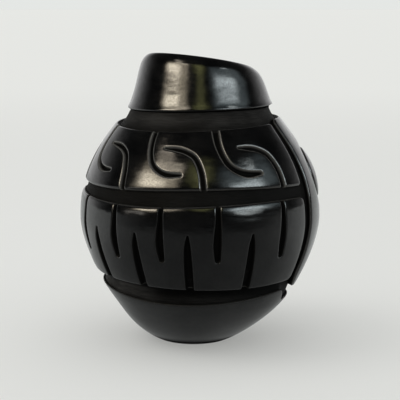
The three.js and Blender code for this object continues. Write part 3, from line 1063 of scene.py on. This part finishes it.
def table_reflection():
    """What the polish sees of the table: black at the foot, shaded round it, dark towards the
    room in front and pale behind. A ring just over the floor that only shows in reflections.
    """
    rings = [
        [(r * math.sin(a), -r * math.cos(a), 0) for a in np.linspace(0, 2 * math.pi, 49)]
        for r in (FOOT_RADIUS * MM, *TABLE_RINGS)
    ]
    ring = grid_sheet("table_reflection", rings)
    ring.location = (FOOT_SHIFT * MM, 0, OVER_FLOOR)
    material, n, shader = new_material("table_reflection")
    place = n.add("ShaderNodeTexCoord").outputs["Object"]
    away = n.add("ShaderNodeVectorMath", {0: place}, operation="LENGTH").outputs["Value"]
    x, y, _ = n.add("ShaderNodeSeparateXYZ", {0: place}).outputs
    behind = n.math("DIVIDE", y, away)
    aside = n.math("ABSOLUTE", n.math("DIVIDE", x, away), 0.0)
    front = n.math("MULTIPLY", n.ramp(away, 0.035, 0.095, 0.19, 0.11), n.ramp(away, 0.3, 1, 1, 0.15))
    front = n.math("MULTIPLY", front, n.ramp(aside, 0.1, 0.8, 1, 1.35))
    strength = n.blend(n.ramp(behind, -0.7, 0.6), front, n.ramp(away, 0.08, 0.3, 0.34, 0.66))
    strength = n.math("MULTIPLY", strength, n.ramp(away, 0.0255, 0.0315))
    shader.inputs["Base Color"].default_value = (0, 0, 0, 1)
    shader.inputs["Specular IOR Level"].default_value = 0
    shader.inputs["Emission Color"].default_value = (0.97, 1.0, 0.98, 1)
    n.set(shader.inputs["Emission Strength"], strength)
    ring.data.materials.append(material)
    ring.visible_camera = False
    ring.visible_diffuse = False
    ring.visible_shadow = False
    ring.visible_transmission = False


def softbox(name, azimuth, elevation, distance, size, colour, radiance):
    data = bpy.data.lights.new(name, "AREA")
    data.shape = "RECTANGLE"
    data.size, data.size_y = size
    data.color = colour
    data.energy = radiance * math.pi * size[0] * size[1]
    light = bpy.data.objects.new(name, data)
    aim = Vector((0, 0, 0.12))
    light.location = aim + direction(azimuth, elevation) * distance
    light.rotation_euler = (light.location - aim).to_track_quat("Z", "Y").to_euler()
    light.visible_camera = False
    bpy.context.scene.collection.objects.link(light)
    return light


# What the polish sees of the room: the azimuth and elevation of each source's middle and its
# half width and half height, in degrees, then how soft its edge is, its colour and its strength
WINDOWS = [
    ((-48, 30), (23, 12), 6, (1.0, 0.87, 0.66), 2.4),
    ((-53, 28), (13, 6), 6, (1.0, 0.90, 0.72), 6.4),
    ((-41, 45), (17, 5), 4, (1.0, 0.88, 0.70), 3.4),
    ((-54, 55), (13, 2), 3, (1.0, 0.88, 0.72), 3.2),
    ((-64, 8), (10, 3), 3, (1.0, 0.94, 0.85), 1.6),
    ((57, 29), (32, 12), 9, (0.78, 0.95, 1.0), 0.65),
    ((49, 20), (18, 6), 8, (0.88, 0.98, 1.0), 5.0),
    ((47, 9), (13, 2.5), 3, (0.92, 1.0, 1.0), 3.5),
    ((62, 41), (8, 1.5), 2, (0.92, 1.0, 1.0), 5.0),
    ((1, 30), (7, 12), 4, (1.0, 1.0, 0.42), 0.5),
    ((0, 44), (15, 9), 6, (1.0, 1.0, 0.42), 0.5),
]


def room():
    """A pale room. In the polish it is bright behind the pot, dark in front, and has windows."""
    world = bpy.data.worlds.new("pale_room")
    world.use_nodes = True
    n = Nodes(world.node_tree)
    towards = n.add("ShaderNodeTexCoord").outputs["Generated"]
    x, y, z = n.add("ShaderNodeSeparateXYZ", {0: towards}).outputs
    azimuth = n.math("MULTIPLY", n.math("ARCTAN2", x, n.math("MULTIPLY", y, -1.0)), math.degrees(1))
    elevation = n.math("MULTIPLY", n.math("ARCSINE", z, 0.0), math.degrees(1))

    def between(angle, middle, half, soft):
        away = n.math("ABSOLUTE", n.math("SUBTRACT", angle, middle), 0.0)
        return n.ramp(away, half - soft, half + soft, 1, 0)

    behind = n.math("MULTIPLY", n.ramp(y, 0.1, 1.0), n.ramp(z, 0.1, 0.6, 0.95, 0.04))
    seen = n.math("ADD", behind, 0.006)
    for (turn, lift), (half_width, half_height), soft, colour, strength in WINDOWS:
        wide = between(azimuth, turn, half_width, soft)
        shape = n.math("MULTIPLY", wide, between(elevation, lift, half_height, soft))
        glow = n.mix(shape, (0, 0, 0, 1), tuple(c * strength for c in colour) + (1,))
        seen = n.add("ShaderNodeVectorMath", {0: seen, 1: glow}, operation="ADD").outputs["Vector"]
    by_camera = n.add("ShaderNodeLightPath").outputs["Is Camera Ray"]
    background = world.node_tree.nodes["Background"]
    n.set(background.inputs["Color"], n.mix(by_camera, seen, (0.78, 0.80, 0.78, 1)))
    background.inputs["Strength"].default_value = 1
    world.cycles_visibility.diffuse = False
    bpy.context.scene.world = world


TENT_RADIUS = 9
TENT_STRENGTH = 0.56


def tent():
    """A white tent over the table: even, shadowless light that the polish doesn't mirror."""
    elevations = np.linspace(0, 89, 10)
    azimuths = np.linspace(0, 360, 33)
    dome = grid_sheet("tent", [[direction(a, e) * TENT_RADIUS for a in azimuths] for e in elevations])
    material, n, shader = new_material("tent")
    shader.inputs["Base Color"].default_value = (0, 0, 0, 1)
    shader.inputs["Specular IOR Level"].default_value = 0
    shader.inputs["Emission Color"].default_value = (0.99, 1.0, 0.97, 1)
    shader.inputs["Emission Strength"].default_value = TENT_STRENGTH
    dome.data.materials.append(material)
    dome.visible_camera = False
    dome.visible_glossy = False
    dome.visible_shadow = False


def studio():
    floor()
    table_reflection()
    room()
    tent()
    lights = [
        softbox("ceiling", 0, 90, 2.6, (4, 4), (0.98, 1.0, 0.97), 0.45),
        softbox("key", -80, 50, 2.0, (1.2, 1.2), (1.0, 0.99, 0.95), 1.6),
    ]
    for light in lights:
        light.visible_glossy = False


SENSOR, LENS = 36, 113.4
EYE = (0, -0.825, 0.2231)
LOOKING_DOWN = 9.02


def camera():
    """The photograph's view: from just over the rim's height, looking a little down."""
    data = bpy.data.cameras.new("camera")
    data.sensor_width = SENSOR
    data.lens = LENS
    eye = bpy.data.objects.new("camera", data)
    eye.location = EYE
    eye.rotation_euler = (math.radians(90 - LOOKING_DOWN), 0, 0)
    bpy.context.scene.collection.objects.link(eye)
    bpy.context.scene.camera = eye


camera()
base_bowl()
coiled_wall()
neck_collar()
shoulder_band()
belly_band()
side_panel()
side_boss()
studio()
bpy.context.scene.view_settings.view_transform = "Standard"
